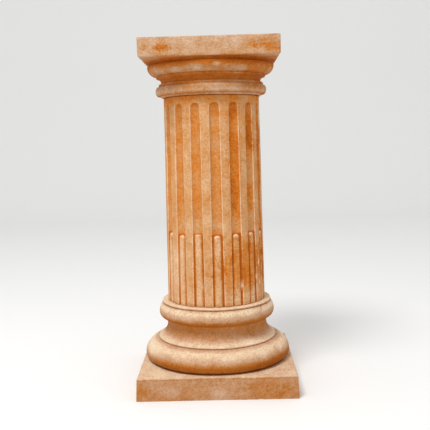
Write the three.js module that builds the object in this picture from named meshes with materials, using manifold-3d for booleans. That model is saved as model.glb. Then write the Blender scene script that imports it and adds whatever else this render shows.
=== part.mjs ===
// A doric column in terracotta, one metre tall, for a garden, a porch or a hall.
// It is press-moulded in three pieces that stack: a base with its square plinth,
// a fluted shaft whose flutes are filled by cables in their lower part, and a
// capital with its square abacus. Millimetres, +Z up, and the origin lies under
// the middle of the plinth.

import * as THREE from 'three';
import { mergeVertices } from 'three/addons/utils/BufferGeometryUtils.js';
import Module from 'manifold-3d';

// The shaft
const shaftHeight = 604;
const shaftFootRadius = 147.5;
const shaftHeadRadius = 141.5;
const shaftTurn = 3.8; // degrees, how far the flutes are turned against the plinth

// The flutes, and the strips of shaft that are left between them
const fluteCount = 16;
const fluteDepth = 9.5;
const stripWidthHead = 25.5;
const stripWidthFoot = 22.5;
const bandHeight = 21; // plain band above the flutes

// The cables in the flutes
const cableHeight = 209;
const cableGroove = 6; // gap between a cable and each edge of its flute
const cableSink = 0.6; // a cable's crown lies this far under the strips

// The base, from the ground up
const plinthHeight = 64;
const plinthBatter = 2.5; // each face leans in by this much
const plinthMargin = 6; // from the lower torus to the plinth's top edge
const lowerTorusHeight = 65;
const lowerTorusWaist = 20; // height of its widest place above the plinth
const lowerTorusSwell = 41; // how far it swells past the fillet above it
const lowerTorusUndercut = 15; // how far it draws in again down to the plinth
const lowerTorusCrown = 10; // how far its crown runs in under the fillet
const lowerFilletHeight = 4.5;
const lowerFilletReach = 27.5; // from the scotia's throat to the lower fillet
const scotiaHeight = 56.5;
const scotiaThroat = 40; // height of the narrowest place above the fillet
const scotiaBend = 13.5; // height of the corner that its lower curve bends towards
const throatReach = 3; // from the foot of the shaft to the scotia's throat
const upperTorusHeight = 47;
const upperTorusWaist = 17;
const upperTorusSwell = 24; // how far it swells past the scotia's throat
const upperTorusFoot = 7; // how far its foot stands out from the throat
const upperTorusCrown = 6; // how far its crown runs in under the fillet
const upperFilletHeight = 6;
const upperFilletReach = 17; // ledge around the foot of the shaft

// The capital, from the shaft up
const collarHeight = 5;
const collarReach = 6; // how far the collar stands out from the head of the shaft
const beadHeight = 26;
const beadWaist = 15; // height of its widest place above the collar
const beadSwell = 16.5; // how far it swells past the collar
const beadFoot = 9.5; // how far its foot stands out from the collar
const beadCrown = 9.5; // how far its crown stands out from the collar
const neckBandHeight = 8;
const neckBandReach = 7; // how far the band stands out from the collar
const neckHeight = 17;
const neckReach = 5.5; // how far the throat stands out from the head of the shaft
const annuletHeight = 5.5;
const annuletReach = 14.5; // how far it stands out from the throat of the neck
const echinusHeight = 29.5;
const echinusShoulder = 27.5; // height of its widest place above the annulet
const echinusSwell = 25.5; // how far it swells past the annulet
const echinusFoot = 1.5; // how far its foot is set back from the annulet
const quirkHeight = 10; // groove between the echinus and the abacus
const quirkDepth = 6; // how far it is set back from the echinus
const abacusHeight = 52;
const abacusMargin = 6.7; // from the echinus to the abacus's faces

// Facets
const roundSegments = 60;
const segmentsPerFlute = 4; // of the plain shaft, before the flutes are cut
const curveSteps = 4;
const cutterSegments = 12;
const capSteps = 3;

// Heights at which one moulding ends and the next begins
const lowerTorusTop = plinthHeight + lowerTorusHeight;
const lowerFilletTop = lowerTorusTop + lowerFilletHeight;
const scotiaTop = lowerFilletTop + scotiaHeight;
const upperTorusTop = scotiaTop + upperTorusHeight;
const baseTop = upperTorusTop + upperFilletHeight;
const capitalFoot = baseTop + shaftHeight;

// Radii of the base
const throatRadius = shaftFootRadius + throatReach;
const upperFilletRadius = shaftFootRadius + upperFilletReach;
const upperTorusRadius = throatRadius + upperTorusSwell;
const lowerFilletRadius = throatRadius + lowerFilletReach;
const lowerTorusRadius = lowerFilletRadius + lowerTorusSwell;

const wasm = await Module();
wasm.setup();

const mergeDistance = 1e-3;

function toSolid(geometry) {
  const bare = geometry.clone();
  bare.deleteAttribute('normal');
  bare.deleteAttribute('uv');
  const merged = mergeVertices(bare, mergeDistance);
  return new wasm.Manifold(new wasm.Mesh({
    numProp: 3,
    vertProperties: new Float32Array(merged.attributes.position.array),
    triVerts: new Uint32Array(merged.index.array),
  }));
}

function toGeometry(solid) {
  const mesh = solid.getMesh();
  const geometry = new THREE.BufferGeometry();
  geometry.setAttribute('position', new THREE.BufferAttribute(mesh.vertProperties, 3));
  geometry.setIndex(new THREE.BufferAttribute(mesh.triVerts, 1));
  geometry.computeVertexNormals();
  return geometry;
}

// A point of a turned outline: how far from the axis, and how high.
function at(radius, height) {
  return new THREE.Vector2(radius, height);
}

// A quarter of an ellipse from one point to another. It leaves the first point
// either level or upright, and reaches the second one the other way.
function quarter(from, to, leaves) {
  const points = [];
  for (let step = 0; step <= curveSteps; step += 1) {
    const angle = (step / curveSteps) * (Math.PI / 2);
    const early = 1 - Math.cos(angle);
    const late = Math.sin(angle);
    const across = leaves === 'level' ? late : early;
    const up = leaves === 'level' ? early : late;
    points.push(at(from.x + (to.x - from.x) * across, from.y + (to.y - from.y) * up));
  }
  return points;
}

// A hollow curve from one point to another, drawn towards the corner that
// has the radius of one and the height of the other.
function hollow(from, to, corner) {
  return new THREE.QuadraticBezierCurve(from, corner, to).getPoints(curveSteps);
}

// A body turned about the Z axis. The outline climbs from the axis to the axis.
function turned(outline, segments) {
  const apart = outline.filter((point, index) => (
    index === 0 || point.distanceTo(outline[index - 1]) > mergeDistance
  ));
  const geometry = new THREE.LatheGeometry(apart, segments);
  geometry.rotateX(Math.PI / 2);
  return geometry;
}

// A square block whose faces may lean in, standing on the height given.
function squareBlock(footHalf, headHalf, height, foot) {
  const geometry = new THREE.CylinderGeometry(headHalf * Math.SQRT2, footHalf * Math.SQRT2, height, 4);
  geometry.rotateY(Math.PI / 4);
  geometry.rotateX(Math.PI / 2);
  geometry.translate(0, 0, foot + height / 2);
  return geometry;
}

function baseGeometry() {
  const lowerTorusFoot = at(lowerTorusRadius - lowerTorusUndercut, plinthHeight);
  const lowerTorusSide = at(lowerTorusRadius, plinthHeight + lowerTorusWaist);
  const lowerTorusHead = at(lowerFilletRadius - lowerTorusCrown, lowerTorusTop);
  const scotiaMouth = at(lowerFilletRadius, lowerFilletTop);
  const throat = at(throatRadius, lowerFilletTop + scotiaThroat);
  const upperTorusBottom = at(throatRadius + upperTorusFoot, scotiaTop);
  const upperTorusSide = at(upperTorusRadius, scotiaTop + upperTorusWaist);
  const upperTorusHead = at(upperFilletRadius - upperTorusCrown, upperTorusTop);
  const outline = [
    at(0, plinthHeight / 2),
    at(lowerTorusFoot.x, plinthHeight / 2),
    ...quarter(lowerTorusFoot, lowerTorusSide, 'level'),
    ...quarter(lowerTorusSide, lowerTorusHead, 'upright'),
    at(lowerFilletRadius, lowerTorusTop),
    ...hollow(scotiaMouth, throat, at(throatRadius, lowerFilletTop + scotiaBend)),
    ...hollow(throat, upperTorusBottom, at(throatRadius, (throat.y + scotiaTop) / 2)),
    ...quarter(upperTorusBottom, upperTorusSide, 'level'),
    ...quarter(upperTorusSide, upperTorusHead, 'upright'),
    at(upperFilletRadius, upperTorusTop),
    at(upperFilletRadius, baseTop),
    at(0, baseTop),
  ];
  const headHalf = lowerTorusRadius + plinthMargin;
  const plinth = squareBlock(headHalf + plinthBatter, headHalf, plinthHeight, 0);
  return toGeometry(toSolid(turned(outline, roundSegments)).add(toSolid(plinth)));
}

function capitalGeometry() {
  const collarRadius = shaftHeadRadius + collarReach;
  const collarTop = capitalFoot + collarHeight;
  const beadTop = collarTop + beadHeight;
  const neckFoot = beadTop + neckBandHeight;
  const neckTop = neckFoot + neckHeight;
  const annuletTop = neckTop + annuletHeight;
  const echinusTop = annuletTop + echinusHeight;
  const quirkTop = echinusTop + quirkHeight;
  const neckRadius = shaftHeadRadius + neckReach;
  const annuletRadius = neckRadius + annuletReach;
  const echinusRadius = annuletRadius + echinusSwell;
  const beadSide = at(collarRadius + beadSwell, collarTop + beadWaist);
  const neckThroat = at(neckRadius, neckFoot);
  const neckMouth = at(annuletRadius, neckTop);
  const outline = [
    at(0, capitalFoot),
    at(collarRadius, capitalFoot),
    at(collarRadius, collarTop),
    ...quarter(at(collarRadius + beadFoot, collarTop), beadSide, 'level'),
    ...quarter(beadSide, at(collarRadius + beadCrown, beadTop), 'upright'),
    at(collarRadius + neckBandReach, beadTop),
    at(collarRadius + neckBandReach, neckFoot),
    ...hollow(neckThroat, neckMouth, at(neckRadius, neckTop)),
    at(annuletRadius, annuletTop),
    ...quarter(
      at(annuletRadius - echinusFoot, annuletTop),
      at(echinusRadius, annuletTop + echinusShoulder),
      'level',
    ),
    at(echinusRadius, echinusTop),
    at(echinusRadius - quirkDepth, echinusTop),
    at(echinusRadius - quirkDepth, quirkTop + abacusHeight / 2),
    at(0, quirkTop + abacusHeight / 2),
  ];
  const half = echinusRadius + abacusMargin;
  const abacus = squareBlock(half, half, abacusHeight, quirkTop);
  return toGeometry(toSolid(turned(outline, roundSegments)).add(toSolid(abacus)));
}

function shaftRadius(height) {
  return shaftFootRadius + (shaftHeadRadius - shaftFootRadius) * (height / shaftHeight);
}

// Width of a flute at a height above the shaft's foot: the room between two strips.
function fluteWidth(height) {
  const share = height / shaftHeight;
  const strip = stripWidthFoot + (stripWidthHead - stripWidthFoot) * share;
  return 2 * shaftRadius(height) * Math.sin(Math.PI / fluteCount) - strip;
}

// Radius of the round cutter that leaves a flute of the given width.
function cutterRadius(width) {
  return (width * width / 4 + fluteDepth * fluteDepth) / (2 * fluteDepth);
}

// A tapering rod with a round head, between two places on the shaft's +X side.
function rod(foot, head) {
  const length = head.height - foot.height;
  const outline = [at(0, 0), at(foot.radius, 0)];
  for (let step = 0; step <= capSteps; step += 1) {
    const angle = (step / capSteps) * (Math.PI / 2);
    outline.push(at(head.radius * Math.cos(angle), length + head.radius * Math.sin(angle)));
  }
  outline[outline.length - 1].x = 0;
  const geometry = turned(outline, cutterSegments);
  geometry.rotateZ(Math.PI / cutterSegments);
  geometry.rotateY(Math.atan2(head.reach - foot.reach, length));
  geometry.translate(foot.reach, 0, foot.height);
  return geometry;
}

// One flute with its cable left standing in it, on the shaft's +X side.
function fluteSolid() {
  const overrun = cutterRadius(fluteWidth(0)); // past the shaft's foot
  const fluteEnd = (height) => {
    const radius = cutterRadius(fluteWidth(height));
    return { radius, height, reach: shaftRadius(height) - fluteDepth + radius };
  };
  const cableEnd = (height, below) => {
    const radius = fluteWidth(height) / 2 - cableGroove;
    return { radius, height: height - below, reach: shaftRadius(height) - cableSink - radius };
  };
  const archRadius = fluteWidth(shaftHeight - bandHeight) / 2;
  const fluteHead = fluteEnd(shaftHeight - bandHeight - archRadius);
  const cableRadius = fluteWidth(cableHeight) / 2 - cableGroove;
  const cutter = toSolid(rod(fluteEnd(-overrun), fluteHead));
  const cable = toSolid(rod(cableEnd(0, 2 * overrun), cableEnd(cableHeight - cableRadius, 0)));
  return cutter.subtract(cable);
}

function shaftGeometry() {
  const outline = [at(0, 0), at(shaftFootRadius, 0), at(shaftHeadRadius, shaftHeight), at(0, shaftHeight)];
  let shaft = toSolid(turned(outline, fluteCount * segmentsPerFlute));
  const flute = fluteSolid();
  for (let index = 0; index < fluteCount; index += 1) {
    shaft = shaft.subtract(flute.rotate([0, 0, (index * 360) / fluteCount]));
  }
  return toGeometry(shaft);
}

function terracotta(colour, roughness) {
  return new THREE.MeshStandardMaterial({ color: colour, roughness, metalness: 0 });
}

const column = new THREE.Group();

const base = new THREE.Mesh(baseGeometry(), terracotta(0xe0b184, 0.85));
base.name = 'base';
column.add(base);

const shaft = new THREE.Mesh(shaftGeometry(), terracotta(0xd99f68, 0.88));
shaft.name = 'shaft';
shaft.position.z = baseTop;
shaft.rotation.z = THREE.MathUtils.degToRad(shaftTurn - 90);
column.add(shaft);

const capital = new THREE.Mesh(capitalGeometry(), terracotta(0xd6a27c, 0.87));
capital.name = 'capital';
column.add(capital);

export default column;
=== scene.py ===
"""A doric column in terracotta, in the frame of its CAD model, in metres."""

import math

import bpy
import numpy as np
from mathutils import Euler, Matrix, Vector, noise


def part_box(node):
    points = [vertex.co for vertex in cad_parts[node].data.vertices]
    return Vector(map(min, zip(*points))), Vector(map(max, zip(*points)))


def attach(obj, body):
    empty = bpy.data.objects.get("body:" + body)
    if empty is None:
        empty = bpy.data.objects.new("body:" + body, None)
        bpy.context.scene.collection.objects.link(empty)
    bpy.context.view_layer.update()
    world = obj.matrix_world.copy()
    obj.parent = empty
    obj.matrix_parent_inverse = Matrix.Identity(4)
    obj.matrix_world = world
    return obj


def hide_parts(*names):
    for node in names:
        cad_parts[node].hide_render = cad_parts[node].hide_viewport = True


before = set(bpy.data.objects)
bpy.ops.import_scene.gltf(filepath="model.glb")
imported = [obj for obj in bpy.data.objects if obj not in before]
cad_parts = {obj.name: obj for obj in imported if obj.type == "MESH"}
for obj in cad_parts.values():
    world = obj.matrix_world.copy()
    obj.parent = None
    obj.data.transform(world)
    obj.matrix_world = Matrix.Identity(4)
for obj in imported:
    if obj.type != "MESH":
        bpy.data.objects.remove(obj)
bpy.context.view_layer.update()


# The view
# The camera stands in front of the column, at seven tenths of its height. It
# looks slightly down and is rolled a little to the right.
frame_px = 430
focal_px = 703
camera_distance = 2.119
camera_height = 0.710
camera_aside = 0.0021
camera_bearing = math.radians(0.9)
camera_pitch = math.radians(5.8)
camera_roll = math.radians(1.5)
sensor_width = 36

camera_data = bpy.data.cameras.new("camera")
camera_data.sensor_width = sensor_width
camera_data.lens = sensor_width * focal_px / frame_px
camera = bpy.data.objects.new("camera", camera_data)
camera_round = Matrix.Rotation(camera_bearing, 3, "Z")
camera_tilt = Euler((math.pi / 2 - camera_pitch, 0, 0)).to_matrix()
camera_turn = camera_tilt @ Matrix.Rotation(-camera_roll, 3, "Z")
camera.location = camera_round @ Vector((camera_aside, -camera_distance, camera_height))
camera.rotation_euler = (camera_round @ camera_turn).to_euler()
bpy.context.scene.collection.objects.link(camera)
bpy.context.scene.camera = camera
bpy.context.scene.view_settings.view_transform = "Standard"


# The light
# A large soft lamp stands high on the left in front, and the room itself gives
# an even pale light that fills the shade.
lamp_place = Vector((-1.07, -2.01, 4.15))
lamp_width = 1.5
lamp_watts = 112
room_strength = 0.75
column_middle = Vector((0, 0, 0.5))

lamp_data = bpy.data.lights.new("key_lamp", "AREA")
lamp_data.shape = "DISK"
lamp_data.size = lamp_width
lamp_data.energy = lamp_watts
lamp = bpy.data.objects.new("key_lamp", lamp_data)
lamp.location = lamp_place
lamp.rotation_euler = (column_middle - lamp_place).to_track_quat("-Z", "Y").to_euler()
bpy.context.scene.collection.objects.link(lamp)

room = bpy.data.worlds.new("room")
room.use_nodes = True
room_light = room.node_tree.nodes["Background"]
room_light.inputs["Color"].default_value = (1, 1, 1, 1)
room_light.inputs["Strength"].default_value = room_strength
bpy.context.scene.world = room


# The floor
# A plain pale sheet that lies flat under the column and curves up far behind it.
floor_half = 6.0
floor_bend = 1.5
floor_rise = 5.0
floor_steps = 24

sweep = [(-floor_half, 0.0)]
for step in range(floor_steps + 1):
    angle = step / floor_steps * math.pi / 2
    sweep.append((floor_half - floor_bend + floor_bend * math.sin(angle),
                  floor_bend * (1 - math.cos(angle))))
sweep.append((floor_half, floor_rise))
floor_points = [(side, y, z) for y, z in sweep for side in (-floor_half, floor_half)]
floor_faces = [(2 * k, 2 * k + 1, 2 * k + 3, 2 * k + 2) for k in range(len(sweep) - 1)]
floor_mesh = bpy.data.meshes.new("floor")
floor_mesh.from_pydata(floor_points, [], floor_faces)
floor_mesh.shade_smooth()
floor_material = bpy.data.materials.new("pale_paper")
floor_material.use_nodes = True
floor_shader = floor_material.node_tree.nodes["Principled BSDF"]
floor_shader.inputs["Base Color"].default_value = (0.88, 0.88, 0.87, 1)
floor_shader.inputs["Roughness"].default_value = 0.9
floor_mesh.materials.append(floor_material)
floor = bpy.data.objects.new("floor", floor_mesh)
bpy.context.scene.collection.objects.link(floor)


# The base
# Plinth, lower torus, scotia and upper torus are pressed as one piece of coarse
# terracotta in a plaster mould, so every arris is a little soft and no line is
# quite true. Lime has bloomed on what faces up, and the clay stays orange below;
# the deep orange under the tori and in the creases is painted shade as well.
mm = 0.001


class Outline:
    """A moulding's section, from lines and curves: reach, height, squareness, and bloom with
    painted shade.

    Squareness is 0 where the plan is a circle and 1 where it is a square. Bloom and
    shade is the level from 0 for raw orange to 1 for cream: lime on the clay, and where
    it is low, in creases and on undersides, painted shade as well.
    """

    def __init__(self, reach, height, bloom_and_shade, square=0.0):
        self.rows = [(reach, height, square, bloom_and_shade)]

    def line(self, reach, height, bloom_and_shade, square=None):
        square = self.rows[-1][2] if square is None else square
        self.rows.append((reach, height, square, bloom_and_shade))

    @staticmethod
    def bloom_and_shade_at(share, before, blooms_and_shade):
        return np.interp(share, np.linspace(0, 1, len(blooms_and_shade) + 1), [before, *blooms_and_shade])

    def quarter(self, reach, height, leaves, blooms_and_shade, steps=24):
        """A quarter of an ellipse, with levels of bloom and painted shade at even steps of its
        height.
        """
        start, low, square, before = self.rows[-1]
        for step in range(1, steps + 1):
            angle = step / steps * math.pi / 2
            early, late = 1 - math.cos(angle), math.sin(angle)
            across, up = (late, early) if leaves == "level" else (early, late)
            self.rows.append((start + (reach - start) * across, low + (height - low) * up,
                              square, self.bloom_and_shade_at(up, before, blooms_and_shade)))

    def hollow(self, reach, height, corner_height, blooms_and_shade, steps=24):
        """A hollow curve, bent at the reach of its narrower end.

        Its levels of bloom and painted shade stand at even steps of reach.
        """
        start, low, square, before = self.rows[-1]
        corner_reach = min(start, reach)
        for step in range(1, steps + 1):
            t = step / steps
            a, b, c = (1 - t) ** 2, 2 * t * (1 - t), t * t
            across = a * start + b * corner_reach + c * reach
            share = (across - start) / (reach - start)
            self.rows.append((across, a * low + b * corner_height + c * height,
                              square, self.bloom_and_shade_at(share, before, blooms_and_shade)))

    def evened(self, spacing, softness):
        """Rows at an even spacing, with every corner worn to a soft one."""
        rows = np.array(self.rows)
        steps = np.hypot(*np.diff(rows[:, :2], axis=0).T)
        along = np.concatenate([[0], np.cumsum(steps)])
        count = int(along[-1] / spacing)
        even = np.linspace(0, along[-1], count)
        rows = np.stack([np.interp(even, along, column) for column in rows.T], axis=1)
        reach = int(3 * softness / spacing) + 1
        weights = np.exp(-0.5 * (np.arange(-reach, reach + 1) * spacing / softness) ** 2)
        weights /= weights.sum()
        padded = np.pad(rows, ((reach, reach), (0, 0)), mode="edge")
        soft = np.stack([np.convolve(column, weights, "valid") for column in padded.T], axis=1)
        soft[0], soft[-1] = rows[0], rows[-1]
        return soft


def edges_of(rows, span):
    """How sharply a section turns outwards at each row, from 0 on the flat."""
    ahead = np.roll(rows[:, :2], -span, axis=0) - rows[:, :2]
    behind = rows[:, :2] - np.roll(rows[:, :2], span, axis=0)
    cross = behind[:, 0] * ahead[:, 1] - behind[:, 1] * ahead[:, 0]
    turn = cross / (np.hypot(*ahead.T) * np.hypot(*behind.T) + 1e-12)
    turn[:span] = turn[-span:] = 0
    return turn.clip(0, 1)


def plan_directions(per_side, arris, half):
    """Directions round the axis: those of a circle, and those of a square with soft arrises."""
    corner_steps = 4
    flat = 1 - arris / half
    limit = math.atan(flat)
    round_way, square_way = [], []
    for side in range(4):
        ways = []
        for step in range(per_side):
            t = math.tan(-limit + 2 * limit * step / (per_side - 1))
            ways.append((1.0, t))
        for step in range(1, corner_steps):
            angle = step / corner_steps * math.pi / 2
            ways.append((flat + (1 - flat) * math.cos(angle), flat + (1 - flat) * math.sin(angle)))
        turn = Matrix.Rotation(side * math.pi / 2, 2)
        for way in ways:
            point = turn @ Vector(way)
            square_way.append(point)
            round_way.append(point.normalized())
    return np.array(round_way), np.array(square_way)


def unevenness(point, size, seed):
    """Smooth noise about 0 whose lumps are about as wide as size."""
    return noise.noise(point / size + Vector((seed, -seed, 3 * seed)))


def pressed_piece(name, rows, arris, half, chips, low, high):
    """A pressed moulding: its section swept round the axis, uneven by hand, and chipped."""
    columns_per_side = 78
    slow_wave, quick_wave, lift = 0.9 * mm, 0.4 * mm, 0.8 * mm
    arris_wear = 0.9 * mm
    flat_end = 2 * mm  # this near to its foot and its head, the piece is not lifted
    round_way, square_way = plan_directions(columns_per_side, arris, half)
    count = len(round_way)
    points, blooms_and_shade, edges, chipped = [], [], [], []
    for (reach, height, square, bloom_and_shade), turn in zip(rows, edges_of(rows, 3)):
        plan = reach * ((1 - square) * round_way + square * square_way)
        for x, y in plan:
            point = Vector((x, y, height))
            outward = Vector((x, y, 0)).normalized()
            point += outward * (slow_wave * unevenness(point, 0.16, 1.0)
                                + quick_wave * unevenness(point, 0.03, 2.0)
                                - arris_wear * turn * abs(unevenness(point, 0.012, 3.0)))
            lifted = flat_end < height < high.z - flat_end
            point.z += lift * unevenness(point, 0.14, 5.0) * lifted
            knocked = 0.0
            for place, size in chips:
                ragged_size = size * (1 + 0.5 * unevenness(point, 0.006, 9.0))
                near = 1 - (point - place).length / ragged_size
                if near > 0:
                    knocked = max(knocked, min(1.0, 3 * near))
                    inward = Vector((-outward.x, -outward.y, -0.4 if place.z > 0.03 else 0.4))
                    point += inward * (0.34 * size * min(1.0, 1.6 * near))
            points.append(point)
            blooms_and_shade.append(bloom_and_shade)
            edges.append(turn)
            chipped.append(knocked)
    coordinates = np.clip(np.array(points), np.array(low), np.array(high))
    faces = []
    for row in range(len(rows) - 1):
        for k in range(count):
            along = (k + 1) % count
            faces.append((row * count + k, row * count + along,
                          (row + 1) * count + along, (row + 1) * count + k))
    last = (len(rows) - 1) * count
    foot = len(coordinates)
    coordinates = np.vstack([coordinates, [0, 0, rows[0][1]], [0, 0, rows[-1][1]]])
    for k in range(count):
        along = (k + 1) % count
        faces.append((foot, along, k))
        faces.append((foot + 1, last + k, last + along))
    mesh = bpy.data.meshes.new(name)
    mesh.from_pydata(coordinates.tolist(), [], faces)
    mesh.shade_smooth()
    for label, values in (("bloom_and_shade", blooms_and_shade), ("edge", edges), ("chipped", chipped)):
        attribute = mesh.attributes.new(label, "FLOAT", "POINT")
        attribute.data.foreach_set("value", np.array([*values, values[0], values[-1]], np.float32))
    piece = bpy.data.objects.new(name, mesh)
    bpy.context.scene.collection.objects.link(piece)
    return piece


class Wire:
    """A socket of a node tree. Sums on wires and numbers add the Math nodes for them."""

    def __init__(self, tree, socket=None):
        self.tree = tree
        self.socket = socket

    def node(self, kind, settings, sockets, output=0):
        """Any node: its settings first, then the values or wires of its sockets."""
        made = self.tree.nodes.new(kind)
        for label, value in settings.items():
            setattr(made, label, value)
        for label, value in sockets.items():
            if isinstance(value, Wire):
                self.tree.links.new(value.socket, made.inputs[label])
            else:
                made.inputs[label].default_value = value
        return Wire(self.tree, made.outputs[output])

    def sum_of(self, operation, *others):
        sockets = {0: self}
        sockets.update({index + 1: other for index, other in enumerate(others)})
        return self.node("ShaderNodeMath", {"operation": operation}, sockets)

    def __add__(self, other):
        return self.sum_of("ADD", other)

    __radd__ = __add__

    def __mul__(self, other):
        return self.sum_of("MULTIPLY", other)

    __rmul__ = __mul__

    def __sub__(self, other):
        return self.sum_of("SUBTRACT", other)

    def __rsub__(self, other):
        return self.node("ShaderNodeMath", {"operation": "SUBTRACT"}, {0: other, 1: self})

    def __truediv__(self, other):
        return self.sum_of("DIVIDE", other)

    def vector(self, operation, other):
        """Vector maths between this wire and another wire or vector."""
        return self.node("ShaderNodeVectorMath", {"operation": operation}, {0: self, 1: other})

    def far_from(self, middle, halves):
        """How far this place is from a middle, as a share of half sizes."""
        scaled = self.vector("SUBTRACT", middle).vector("DIVIDE", halves)
        return self.node("ShaderNodeVectorMath", {"operation": "LENGTH"}, {0: scaled}, "Value")

    def clamped(self):
        return self.node("ShaderNodeClamp", {}, {"Value": self})

    def ramp(self, low, high):
        """0 at low, 1 at high, smooth between."""
        sockets = {"Value": self, "From Min": low, "From Max": high}
        return self.node("ShaderNodeMapRange", {"interpolation_type": "SMOOTHSTEP"}, sockets)

    def grain(self, scale, detail=4.0, roughness=0.55):
        """Noise about 0, from -1 to 1, at a place that this wire holds."""
        sockets = {"Vector": self, "Scale": scale, "Detail": detail, "Roughness": roughness}
        return 2 * self.node("ShaderNodeTexNoise", {}, sockets) - 1

    def toned(self, tones):
        """The colour that belongs to this wire's value, from a list of values and colours."""
        made = self.node("ShaderNodeValToRGB", {}, {0: self / tones[-1][0]})
        stops = made.socket.node.color_ramp.elements
        while len(stops) < len(tones):
            stops.new(1.0)
        for stop, (value, colour) in zip(stops, tones):
            stop.position = value / tones[-1][0]
            stop.color = colour
        return made

    def mixed(self, factor, other):
        """This colour towards another one by a factor."""
        sockets = {0: factor, 6: self, 7: other}
        return self.node("ShaderNodeMix", {"data_type": "RGBA"}, sockets, 2)


def paint(red, green, blue):
    """A colour as seen on a screen, in the linear values that a shader takes."""
    def linear(value):
        value /= 255
        return value / 12.92 if value <= 0.04045 else ((value + 0.055) / 1.055) ** 2.4
    return (linear(red), linear(green), linear(blue), 1.0)


def terracotta(name, tones, veil, wanders, drawn_out, arris_lime_and_highlight, marks, seed):
    """Unglazed terracotta, from raw orange in its hollows to a pale bloom where it is open;
    the raw orange in hollows and under things is painted shade as well as the clay's own.

    tones are the levels of bloom and shade and their colours. veil is the thin haze of lime
    on the middle levels. wanders is how far the level strays from the bloom_and_shade of the
    mesh. drawn_out is the scale of the streaks along each axis. arris_lime_and_highlight is
    how much of the palest tone lies on the arrises, as wear and as a painted highlight. marks
    are places that were rubbed or limed, and darker places on the right side that are partly
    painted shade: middle, half sizes, and how many levels they lie below (under 0) or above
    the clay round them.
    """
    material = bpy.data.materials.new(name)
    material.use_nodes = True
    tree = material.node_tree
    shader = tree.nodes["Principled BSDF"]
    start = Wire(tree)
    place = start.node("ShaderNodeTexCoord", {}, {}, "Object")
    moved = place.vector("ADD", (seed, seed, seed))
    drawn = moved.vector("MULTIPLY", drawn_out)
    bloom_and_shade, edge, chipped = (
        start.node("ShaderNodeAttribute", {"attribute_name": label}, {}, 2)
        for label in ("bloom_and_shade", "edge", "chipped")
    )

    patches = moved.grain(11, 4, 0.6)
    blots = moved.grain(26, 3, 0.5)
    mottle = moved.grain(45, 5, 0.7)
    streaks = drawn.grain(60, 4, 0.65)
    grit = moved.grain(170, 3, 0.8)

    spread = wanders * (0.4 + 0.6 * bloom_and_shade.ramp(0.0, 0.45))
    strays = 0.45 * patches + 0.50 * blots + 0.35 * mottle + 0.35 * streaks + 0.35 * grit
    level = bloom_and_shade + spread * strays
    for middle, halves, amount in marks:
        far = place.far_from(middle, halves) + 0.7 * mottle + 0.4 * grit
        level = level + (1 - far.ramp(0.40, 1.30)) * amount

    colour = level.toned(tones)
    middle_levels = level.ramp(0.3, 0.65) * (1 - level.ramp(0.8, 1.0))
    haze = moved.grain(16, 5, 0.7).ramp(0.0, 0.55) * middle_levels
    colour = colour.mixed(haze * 0.55, veil)
    grime = (0.78, 0.68, 0.56, 1)
    dark = start.node("ShaderNodeMix", {"data_type": "RGBA", "blend_type": "MULTIPLY"},
                      {0: 1.0, 6: colour, 7: grime}, 2)
    colour = dark.mixed((0.55 + grit + 0.3 * mottle).ramp(0.0, 0.85), colour)
    # The arrises turn towards the palest tone: wear, and a painted highlight.
    arris = edge.ramp(0.15, 0.7) * (0.75 + 1.2 * mottle).clamped() * level.ramp(0.1, 0.6)
    colour = colour.mixed(arris * arris_lime_and_highlight, tones[-1][1])
    colour = colour.mixed(chipped * (arris_lime_and_highlight + 0.15), tones[-1][1])
    cells = start.node("ShaderNodeTexVoronoi", {}, {"Vector": moved, "Scale": 190.0})
    pits = (1 - cells.ramp(0.14, 0.26)) * moved.grain(80, 2).ramp(0.0, 0.25)
    colour = colour.mixed(pits * 0.6, tones[0][1])
    tree.links.new(colour.socket, shader.inputs["Base Color"])

    rough = 0.82 + 0.14 * level.clamped()
    tree.links.new(rough.socket, shader.inputs["Roughness"])
    shader.inputs["Specular IOR Level"].default_value = 0.22

    relief = 0.5 * mottle + 0.35 * grit + 0.2 * moved.grain(800, 2) + 0.3 * streaks - 1.2 * pits
    bumped = start.node("ShaderNodeBump", {}, {
        "Height": relief, "Strength": 0.6, "Distance": 1.0 * mm})
    tree.links.new(bumped.socket, shader.inputs["Normal"])
    return material


base_low, base_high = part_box("base")
plinth_top = 64 * mm
plinth_foot_half = base_high.x
plinth_head_half = plinth_foot_half - 2.5 * mm
lower_torus_radius = plinth_head_half - 6 * mm
lower_torus_top = plinth_top + 65 * mm
lower_fillet_radius = lower_torus_radius - 41 * mm
lower_fillet_top = lower_torus_top + 4.5 * mm
throat_radius = lower_fillet_radius - 27.5 * mm
scotia_top = lower_fillet_top + 56.5 * mm
upper_torus_radius = throat_radius + 24 * mm
upper_torus_top = scotia_top + 47 * mm
base_ledge_radius = throat_radius + 14 * mm

base_outline = Outline(plinth_foot_half - 60 * mm, base_low.z, 0.4, 1)
base_outline.line(plinth_foot_half, base_low.z, 0.38)
base_outline.line(plinth_head_half, plinth_top - 7 * mm, 0.46)
base_outline.line(plinth_head_half, plinth_top - 3 * mm, 0.26)
base_outline.line(plinth_head_half, plinth_top, 0.85)
# The plinth's top turns raw orange where it runs in under the lower torus: painted shade in the
# crease.
base_outline.line(lower_torus_radius - 9 * mm, plinth_top, 1.0, 0)
base_outline.line(lower_torus_radius - 14 * mm, plinth_top, 0.3)
base_outline.line(lower_torus_radius - 19 * mm, plinth_top, 0.1)
base_outline.line(lower_torus_radius - 18 * mm, plinth_top + 1.0 * mm, 0.1)
base_outline.line(lower_torus_radius - 12 * mm, plinth_top + 5 * mm, 0.1)
# The lower torus's underside is raw orange: the clay's own orange, with painted shade under it.
base_outline.quarter(lower_torus_radius, plinth_top + 20 * mm, "level", [0.08, 0.0])
base_outline.quarter(lower_fillet_radius - 10 * mm, lower_torus_top, "upright",
                     [0.26, 0.58, 0.76, 0.95, 1.0, 0.5])
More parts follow.
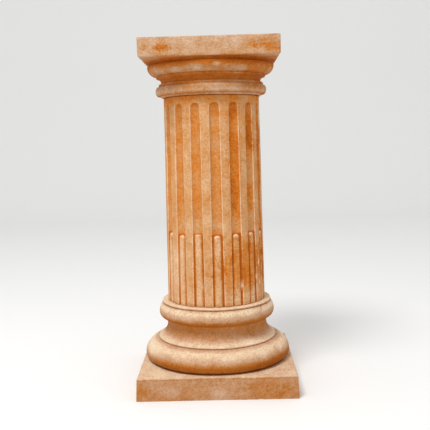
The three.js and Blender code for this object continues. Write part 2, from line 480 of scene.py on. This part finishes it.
# The crease between the lower torus and its fillet is raw orange: painted shade.
base_outline.line(lower_fillet_radius - 4 * mm, lower_torus_top, 0.0)
base_outline.line(lower_fillet_radius, lower_torus_top, 0.1)
base_outline.line(lower_fillet_radius, lower_fillet_top, 1.0)
base_outline.hollow(throat_radius, lower_fillet_top + 40 * mm, lower_fillet_top + 13.5 * mm,
                    [1.0, 0.82, 0.46, 0.28])
# The scotia's top and the upper torus's underside are raw orange: painted shadow of the upper
# torus, with the clay's own orange.
base_outline.hollow(throat_radius + 7 * mm, scotia_top, lower_fillet_top + 48 * mm, [0.26, 0.0])
base_outline.quarter(upper_torus_radius, scotia_top + 17 * mm, "level", [0.05, 0.18, 0.46])
base_outline.quarter(base_ledge_radius - 6 * mm, upper_torus_top, "upright",
                     [0.62, 0.72, 0.95, 1.03, 0.95, 0.4])
# The crease between the upper torus and the ledge is raw orange: painted shade.
base_outline.line(base_ledge_radius - 3 * mm, upper_torus_top, 0.0)
base_outline.line(base_ledge_radius, upper_torus_top, 0.2)
base_outline.line(base_ledge_radius, base_high.z, 1.1)
base_outline.line(base_ledge_radius - 60 * mm, base_high.z, 1.0)

base = pressed_piece(
    "base_pressed", base_outline.evened(1.7 * mm, 1.0 * mm), 2.5 * mm, plinth_foot_half,
    [(Vector((-0.213, -0.227, 0.064)), 0.006), (Vector((0.12, -0.226, 0.0)), 0.006)],
    base_low, base_high,
)
base.data.materials.append(terracotta(
    "base_terracotta",
    tones=[(0.0, paint(167, 92, 16)), (0.2, paint(184, 115, 44)), (0.42, paint(190, 138, 94)),
           (0.62, paint(200, 160, 128)), (0.8, paint(214, 177, 146)), (1.0, paint(229, 202, 169)),
           (1.45, paint(244, 226, 202))],
    veil=paint(196, 158, 132), wanders=0.42, drawn_out=(1, 1, 6), arris_lime_and_highlight=0.12, seed=1.0,
    marks=[((-0.132, -0.226, 0.026), (0.024, 0.03, 0.020), 0.14),
           ((0.012, -0.226, 0.016), (0.034, 0.03, 0.018), 0.16),
           ((-0.215, -0.226, 0.034), (0.024, 0.03, 0.040), -0.10),
           ((0.150, -0.226, 0.034), (0.09, 0.03, 0.04), -0.08),
           ((0.130, -0.105, 0.230), (0.003, 0.014, 0.010), -0.3),
           ((-0.200, -0.05, 0.100), (0.07, 0.13, 0.035), 0.3),
           # This darker mark on the right of the lower torus is painted shade of that side.
           ((0.200, -0.10, 0.085), (0.10, 0.14, 0.022), -0.15)],
))
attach(base, "root")
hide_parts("base")


# The shaft
# A tapering drum, pressed in one with its flutes and with the cables that fill
# them in their lower part. It stands on the base on a thin open bedding joint.
shaft_low, shaft_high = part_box("shaft")
flute_count = 16
shaft_turn = math.radians(3.8 - 90 - 180 / flute_count)
square_cable = 15  # the one cable whose head was pressed square, as a number of its flute
stretches = (  # rows of the mesh, and how far up they reach, from the foot
    (1, 0.0), (1, 1.2), (1, 1.2), (1, 2.4), (20, 188), (34, 216),
    (22, 560), (34, 590), (8, 601.6), (1, 602.8), (1, 602.8), (1, 604), (1, 604),
)
columns_per_flute = 44
crowding = 0.45  # how much closer the columns of the mesh stand at the arrises
chips = (  # degrees round from the camera's side, height above ground and half height in mm
    (61, 362, 20), (56, 322, 9), (32, 302, 13), (-15, 303, 10), (62, 300, 12),
    (-52, 560, 9), (21, 640, 6),
)


def on_shaft(bearing_deg, height_mm):
    """A place on the shaft's skin, by degrees round from the camera's side."""
    angle = math.radians(bearing_deg - 90)
    return (0.145 * math.cos(angle), 0.145 * math.sin(angle), height_mm * mm)


def fluted_tree():
    """Nodes that bend a flat sheet round into the shaft and press its flutes and cables in."""
    tree = bpy.data.node_groups.new("fluted_shaft", "GeometryNodeTree")
    sizes = {
        "Flutes": float(flute_count), "Foot": shaft_low.z, "Height": shaft_high.z - shaft_low.z,
        "Foot Radius": 147.5 * mm, "Head Radius": 141.5 * mm, "Flute Depth": 9.5 * mm,
        "Foot Strip": 22.5 * mm, "Head Strip": 25.5 * mm, "Band": 21 * mm,
        "Cable Height": 209 * mm, "Cable Groove": 4.6 * mm, "Cable Sink": 0.6 * mm,
        "Turn": shaft_turn, "Recess": 4 * mm, "Arris": 1.0 * mm, "Seed": 4.0,
    }
    for label in sizes:
        tree.interface.new_socket(name=label, in_out="INPUT", socket_type="NodeSocketFloat")
    tree.interface.new_socket(name="Shaft", in_out="OUTPUT", socket_type="NodeSocketGeometry")
    entry = tree.nodes.new("NodeGroupInput")
    size = {label: Wire(tree, entry.outputs[label]) for label in sizes}
    softness = 0.8 * mm  # of the edges between strips, flutes and cables
    start = Wire(tree)
    rows = sum(count for count, _ in stretches)
    columns = columns_per_flute * flute_count
    sheet = start.node("GeometryNodeMeshGrid", {}, {
        "Size X": 1.0, "Size Y": 1.0, "Vertices X": columns + 1, "Vertices Y": rows + 1})
    spot = start.node("GeometryNodeInputPosition", {}, {})
    across = start.node("ShaderNodeSeparateXYZ", {}, {0: spot}, 0) + 0.5
    row = (start.node("ShaderNodeSeparateXYZ", {}, {0: spot}, 1) + 0.5) * rows

    # The height of each row, from the foot of the shaft up
    height = row * 0.0
    first, reached = 0, 0.0
    for count, top in stretches:
        height = height + ((row - first) / count).clamped() * ((top - reached) * mm)
        first, reached = first + count, top
    near_end = row.sum_of("MINIMUM", rows - row)

    # The bearing of each column, and the width of its flute
    flutes = across * size["Flutes"]
    number = flutes.sum_of("FLOOR")
    even = flutes - number - 0.5
    from_middle = even + (even * (4 * math.pi)).sum_of("SINE") * (crowding / (4 * math.pi))
    bearing = (number + 0.5 + from_middle) * (2 * math.pi) / size["Flutes"] + size["Turn"]
    from_middle = from_middle * (2 * math.pi) / size["Flutes"]
    chance = start.node("ShaderNodeTexWhiteNoise", {"noise_dimensions": "1D"}, {
        "W": number + size["Seed"]})
    share = height / size["Height"]
    radius = size["Foot Radius"] + (size["Head Radius"] - size["Foot Radius"]) * share
    strip = size["Foot Strip"] + (size["Head Strip"] - size["Foot Strip"]) * share
    half_pitch = math.pi * size["Flutes"].sum_of("POWER", -1.0)
    width = 2 * radius * half_pitch.sum_of("SINE") - strip
    side = radius * from_middle.sum_of("SINE")

    # The depth pressed in: a part of a circle for the flute, and a rod in it for the cable
    depth_set = size["Flute Depth"]
    cutter = (width * width * 0.25 + depth_set * depth_set) / (2 * depth_set)
    spring = size["Height"] - size["Band"] - width * 0.5
    rise = (height - spring).sum_of("MAXIMUM", 0.0)
    inside = ((cutter * cutter - side * side - rise * rise).sum_of("MAXIMUM", 0.0)).sum_of("SQRT")
    inside = inside - (cutter - depth_set)
    flute = inside.sum_of("SMOOTH_MAX", 0.0, softness)

    rod = width * 0.5 - size["Cable Groove"]
    squared = number.sum_of("COMPARE", float(square_cable), 0.5)
    top = size["Cable Height"] + (chance - 0.5) * (3 * mm)
    head_rise = (height - top + rod * (1 - 0.8 * squared)).sum_of("MAXIMUM", 0.0)
    head_rise = head_rise * (1 + 4 * squared)
    off_crown = (side * side + head_rise * head_rise).sum_of("SQRT") / rod
    fall = (1 - off_crown.sum_of("POWER", 3.0)).sum_of("MAXIMUM", 0.0).sum_of("POWER", 1 / 3.0)
    cable = size["Cable Sink"] + rod * 0.95 * (1 - fall)
    depth = flute.sum_of("SMOOTH_MIN", cable, softness)
    in_cables = (top + 2.5 * mm - height).ramp(-3 * mm, 3 * mm)

    # Wear: knocks, the slow wave of the wall, and ragged arrises
    way = start.node("ShaderNodeCombineXYZ", {}, {
        0: bearing.sum_of("COSINE"), 1: bearing.sum_of("SINE"), 2: 0.0})
    skin = start.node("ShaderNodeCombineXYZ", {}, {
        0: bearing.sum_of("COSINE") * radius, 1: bearing.sum_of("SINE") * radius, 2: height})
    knocked = height * 0.0
    for bearing_deg, chip_height, chip_half in chips:
        middle = (*on_shaft(bearing_deg, 0)[:2], chip_height * mm - shaft_low.z)
        far = skin.far_from(middle, (5.5 * mm, 5.5 * mm, chip_half * mm))
        knocked = knocked.sum_of("MAXIMUM", (1 - far + 0.5 * skin.grain(160, 3)) * (1.6 * mm))
    wave = skin.grain(6, 1) * (1.2 * mm) + skin.grain(34, 2) * (0.5 * mm)
    in_head = (rise / (width * 0.5)).ramp(0.1, 1.0)
    near_arris = (1 - inside.sum_of("ABSOLUTE") / (2.8 * mm)).clamped()
    ragged_arris = near_arris * skin.grain(90, 3).sum_of("ABSOLUTE") * (1.1 * mm)
    # Painted highlight: the pale crescent at the top of each cable's head, where its rounding faces
    # the light.
    nose_rim = off_crown.ramp(0.45, 0.65) * (1 - off_crown.ramp(0.88, 1.02))
    nose_highlight = (head_rise / rod).ramp(0.15, 0.5) * nose_rim

    # The place of each point: the end rows draw in, and close the shaft at both ends
    inset = size["Recess"] - (size["Recess"] - size["Arris"]) * (near_end - 2).clamped()
    inset = inset - size["Arris"] * (near_end - 3).clamped()
    depth_here = (depth + knocked.sum_of("MAXIMUM", 0.0) + ragged_arris) * (near_end - 2).clamped()
    reach = near_end.clamped() * (radius - inset - depth_here + wave * (near_end - 2).clamped())
    outward = start.node("ShaderNodeVectorMath", {"operation": "SCALE"}, {0: way, "Scale": reach})
    upward = start.node("ShaderNodeCombineXYZ", {}, {0: 0.0, 1: 0.0, 2: height + size["Foot"]})
    target = start.node("ShaderNodeVectorMath", {"operation": "ADD"}, {0: outward, 1: upward})

    # The bloom on the clay and painted light: least in grooves and hollows, where it
    # also paints their shade, and in the painted shade at the flute heads and under the
    # bead; most on what stands out, with a painted highlight on the cable heads
    groove = in_cables * inside.ramp(0.2 * mm, 1.6 * mm) * off_crown.ramp(0.84, 1.0)
    crown = in_cables * inside.ramp(0.0, 4 * mm) * (1 - off_crown.ramp(0.6, 0.95))
    above_cables = 1 - (height - top - 28 * mm).sum_of("ABSOLUTE") / (34 * mm)
    settled = above_cables.clamped() * depth.ramp(2 * mm, 6 * mm)
    # Painted shadow of the capital's collar and bead on the top of the shaft.
    shadow_under_bead = height.ramp(0.565, 0.604)
    damp = (1 - height.ramp(0.012, 0.060)) * (1 - groove)
    hollow = depth.ramp(0.4 * mm, 3.0 * mm)
    # hollow times in_head darkens the tops of the flutes: painted shade where light from above does
    # not reach.
    bloom_and_shade = (0.74 - 0.27 * hollow - 0.42 * groove - 0.44 * shadow_under_bead + 0.12 * damp + 0.26 * settled
             - 0.22 * hollow * in_head + 0.14 * crown + 0.30 * nose_highlight)
    # Pale arrises are wear and a painted highlight; none at the flute heads, which lie in painted
    # shade.
    edge = (near_arris * (1 - in_head)).sum_of("MAXIMUM", nose_highlight)
    chipped = (knocked / (1.0 * mm)).clamped()
    mesh = sheet
    for label, value in (("bloom_and_shade", bloom_and_shade), ("edge", edge), ("chipped", chipped)):
        settings = {"data_type": "FLOAT", "domain": "POINT"}
        mesh = start.node("GeometryNodeStoreNamedAttribute", settings, {
            "Geometry": mesh, "Name": label, "Value": value})
    mesh = start.node("GeometryNodeSetPosition", {}, {"Geometry": mesh, "Position": target})
    mesh = start.node("GeometryNodeMergeByDistance", {}, {
        "Geometry": mesh, "Distance": 0.05 * mm})
    mesh = start.node("GeometryNodeSetShadeSmooth", {}, {"Geometry": mesh})
    mesh = start.node("GeometryNodeRealizeInstances", {}, {"Geometry": mesh})
    mesh = start.node("GeometryNodeSetMaterial", {}, {"Geometry": mesh, "Material": shaft_material})
    tree.links.new(mesh.socket, tree.nodes.new("NodeGroupOutput").inputs["Shaft"])
    return tree, sizes


def grown(name, tree, sizes):
    """The mesh that a node tree makes from its named sizes, as a plain object."""
    holder = bpy.data.objects.new(name + "_nodes", bpy.data.meshes.new(name + "_nodes"))
    bpy.context.scene.collection.objects.link(holder)
    modifier = holder.modifiers.new(name, "NODES")
    modifier.node_group = tree
    for item in tree.interface.items_tree:
        if item.name in sizes:
            modifier[item.identifier] = sizes[item.name]
    graph = bpy.context.evaluated_depsgraph_get()
    mesh = bpy.data.meshes.new_from_object(holder.evaluated_get(graph), depsgraph=graph)
    bpy.data.objects.remove(holder)
    piece = bpy.data.objects.new(name, mesh)
    bpy.context.scene.collection.objects.link(piece)
    return piece


shaft_material = terracotta(
    "shaft_terracotta",
    tones=[(0.0, paint(180, 94, 6)), (0.22, paint(204, 116, 28)), (0.45, paint(209, 135, 62)),
           (0.72, paint(209, 155, 102)), (1.0, paint(222, 179, 137)), (1.45, paint(238, 211, 182))],
    veil=paint(206, 158, 116), wanders=0.55, drawn_out=(1, 1, 0.10), arris_lime_and_highlight=0.65, seed=5.0,
    # The darker marks far round on the right side are partly orange patches of the clay and partly
    # painted shade of that side.
    marks=[(on_shaft(26.3, 690), (0.024, 0.03, 0.23), -0.29),
           (on_shaft(48.8, 735), (0.018, 0.024, 0.09), -0.32),
           (on_shaft(48.8, 636), (0.020, 0.024, 0.035), 0.12),
           (on_shaft(48.8, 565), (0.018, 0.02, 0.03), -0.25),
           (on_shaft(71.3, 640), (0.02, 0.025, 0.25), -0.25),
           (on_shaft(3.8, 715), (0.016, 0.02, 0.025), 0.2),
           (on_shaft(3.8, 772), (0.016, 0.02, 0.022), 0.22),
           (on_shaft(-55, 365), (0.06, 0.05, 0.08), 0.28),
           (on_shaft(40, 360), (0.105, 0.08, 0.080), -0.47),
           (on_shaft(80, 365), (0.05, 0.04, 0.06), -0.35),
           (on_shaft(35, 836), (0.07, 0.06, 0.014), 0.2)],
)
shaft = grown("shaft_pressed", *fluted_tree())
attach(shaft, "root")
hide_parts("shaft")


# The capital
# Collar, bead, neck, echinus and the square abacus are pressed as one piece,
# which is set on the shaft. Its hollows keep the raw orange of the clay, with
# painted shade in the neck and under the abacus.
capital_low, capital_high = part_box("capital")
abacus_half = capital_high.x
abacus_foot = capital_high.z - 52 * mm
echinus_radius = abacus_half - 6.7 * mm
echinus_top = abacus_foot - 10 * mm
annulet_radius = echinus_radius - 25.5 * mm
annulet_top = echinus_top - 29.5 * mm
neck_radius = annulet_radius - 14.5 * mm
neck_top = annulet_top - 5.5 * mm
neck_foot = neck_top - 17 * mm
bead_top = neck_foot - 8 * mm
collar_radius = neck_radius + 0.5 * mm
collar_top = bead_top - 26 * mm

capital_outline = Outline(collar_radius - 60 * mm, capital_low.z, 0.1)
capital_outline.line(collar_radius, capital_low.z, 0.35)
capital_outline.line(collar_radius, collar_top - 2 * mm, 0.85)
capital_outline.line(collar_radius, collar_top, 0.35)
capital_outline.line(collar_radius + 9.5 * mm, collar_top, 0.10)
capital_outline.quarter(collar_radius + 16.5 * mm, collar_top + 15 * mm, "level",
                        [0.52, 0.74, 0.58, 0.44])
capital_outline.quarter(collar_radius + 9.5 * mm, bead_top, "upright", [0.46, 0.52, 0.34])
capital_outline.line(collar_radius + 7 * mm, bead_top, 0.25)
capital_outline.line(collar_radius + 7 * mm, neck_foot, 0.30)
capital_outline.line(neck_radius, neck_foot, 0.2)
# The neck stays raw orange: the clay's own orange, with painted shade under the echinus.
capital_outline.hollow(annulet_radius, neck_top, neck_top,
                       [0.04, 0.08, 0.14, 0.2, 0.22, 0.22, 0.22, 0.2])
capital_outline.line(annulet_radius, annulet_top, 0.2)
capital_outline.line(annulet_radius - 1.5 * mm, annulet_top, 0.22)
capital_outline.line(annulet_radius - 1.0 * mm, annulet_top + 0.5 * mm, 0.42)
# The echinus darkens towards its top and the quirk under the abacus: painted shadow of the abacus,
# with some stain.
capital_outline.quarter(echinus_radius, annulet_top + 27.5 * mm, "level",
                        [0.46, 0.44, 0.40, 0.26, 0.07, -0.06])
capital_outline.line(echinus_radius, echinus_top, -0.1)
capital_outline.line(echinus_radius - 6 * mm, echinus_top, 0.0)
capital_outline.line(echinus_radius - 6 * mm, abacus_foot, 0.12)
capital_outline.line(abacus_half - 1.5 * mm, abacus_foot, 0.30, 1)
capital_outline.line(abacus_half, abacus_foot + 1.0 * mm, 0.38)
capital_outline.line(abacus_half, abacus_foot + 9 * mm, 0.60)
capital_outline.line(abacus_half, capital_high.z, 0.76)
capital_outline.line(abacus_half - 120 * mm, capital_high.z, 0.9)

capital = pressed_piece(
    "capital_pressed", capital_outline.evened(1.5 * mm, 0.9 * mm), 2 * mm, abacus_half,
    [(Vector((-0.192, -0.192, 0.948)), 0.005), (Vector((-0.192, -0.1, 0.948)), 0.006)],
    capital_low, capital_high,
)
capital.data.materials.append(terracotta(
    "capital_terracotta",
    tones=[(0.0, paint(182, 95, 8)), (0.2, paint(194, 114, 38)), (0.42, paint(192, 138, 88)),
           (0.72, paint(202, 162, 128)), (1.0, paint(212, 181, 154)), (1.45, paint(228, 206, 186))],
    veil=paint(198, 164, 142), wanders=0.75, drawn_out=(1, 1, 3), arris_lime_and_highlight=0.10, seed=9.0,
    marks=[*(((x, y, 0.948), (0.045, 0.045, 0.008), 0.3)
             for x in (-0.17, 0.17) for y in (-0.17, 0.17)),
           ((-0.128, -0.193, 0.972), (0.027, 0.03, 0.011), -0.5),
           ((-0.176, -0.193, 0.972), (0.010, 0.03, 0.012), -0.35),
           ((-0.083, -0.193, 0.972), (0.018, 0.03, 0.010), -0.16),
           ((0.170, -0.193, 0.975), (0.045, 0.03, 0.026), -0.32),
           ((0.110, -0.193, 0.975), (0.022, 0.03, 0.016), -0.16),
           ((-0.092, -0.149, 0.914), (0.026, 0.03, 0.009), 0.24),
           ((-0.032, -0.172, 0.918), (0.015, 0.03, 0.007), 0.3),
           ((0.020, -0.180, 0.926), (0.011, 0.03, 0.006), 0.5),
           ((0.081, -0.155, 0.916), (0.026, 0.03, 0.008), 0.24),
           ((0.120, -0.120, 0.915), (0.06, 0.07, 0.018), -0.15),
           ((0.120, -0.110, 0.865), (0.06, 0.08, 0.014), -0.2)],
))
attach(capital, "root")
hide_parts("capital")
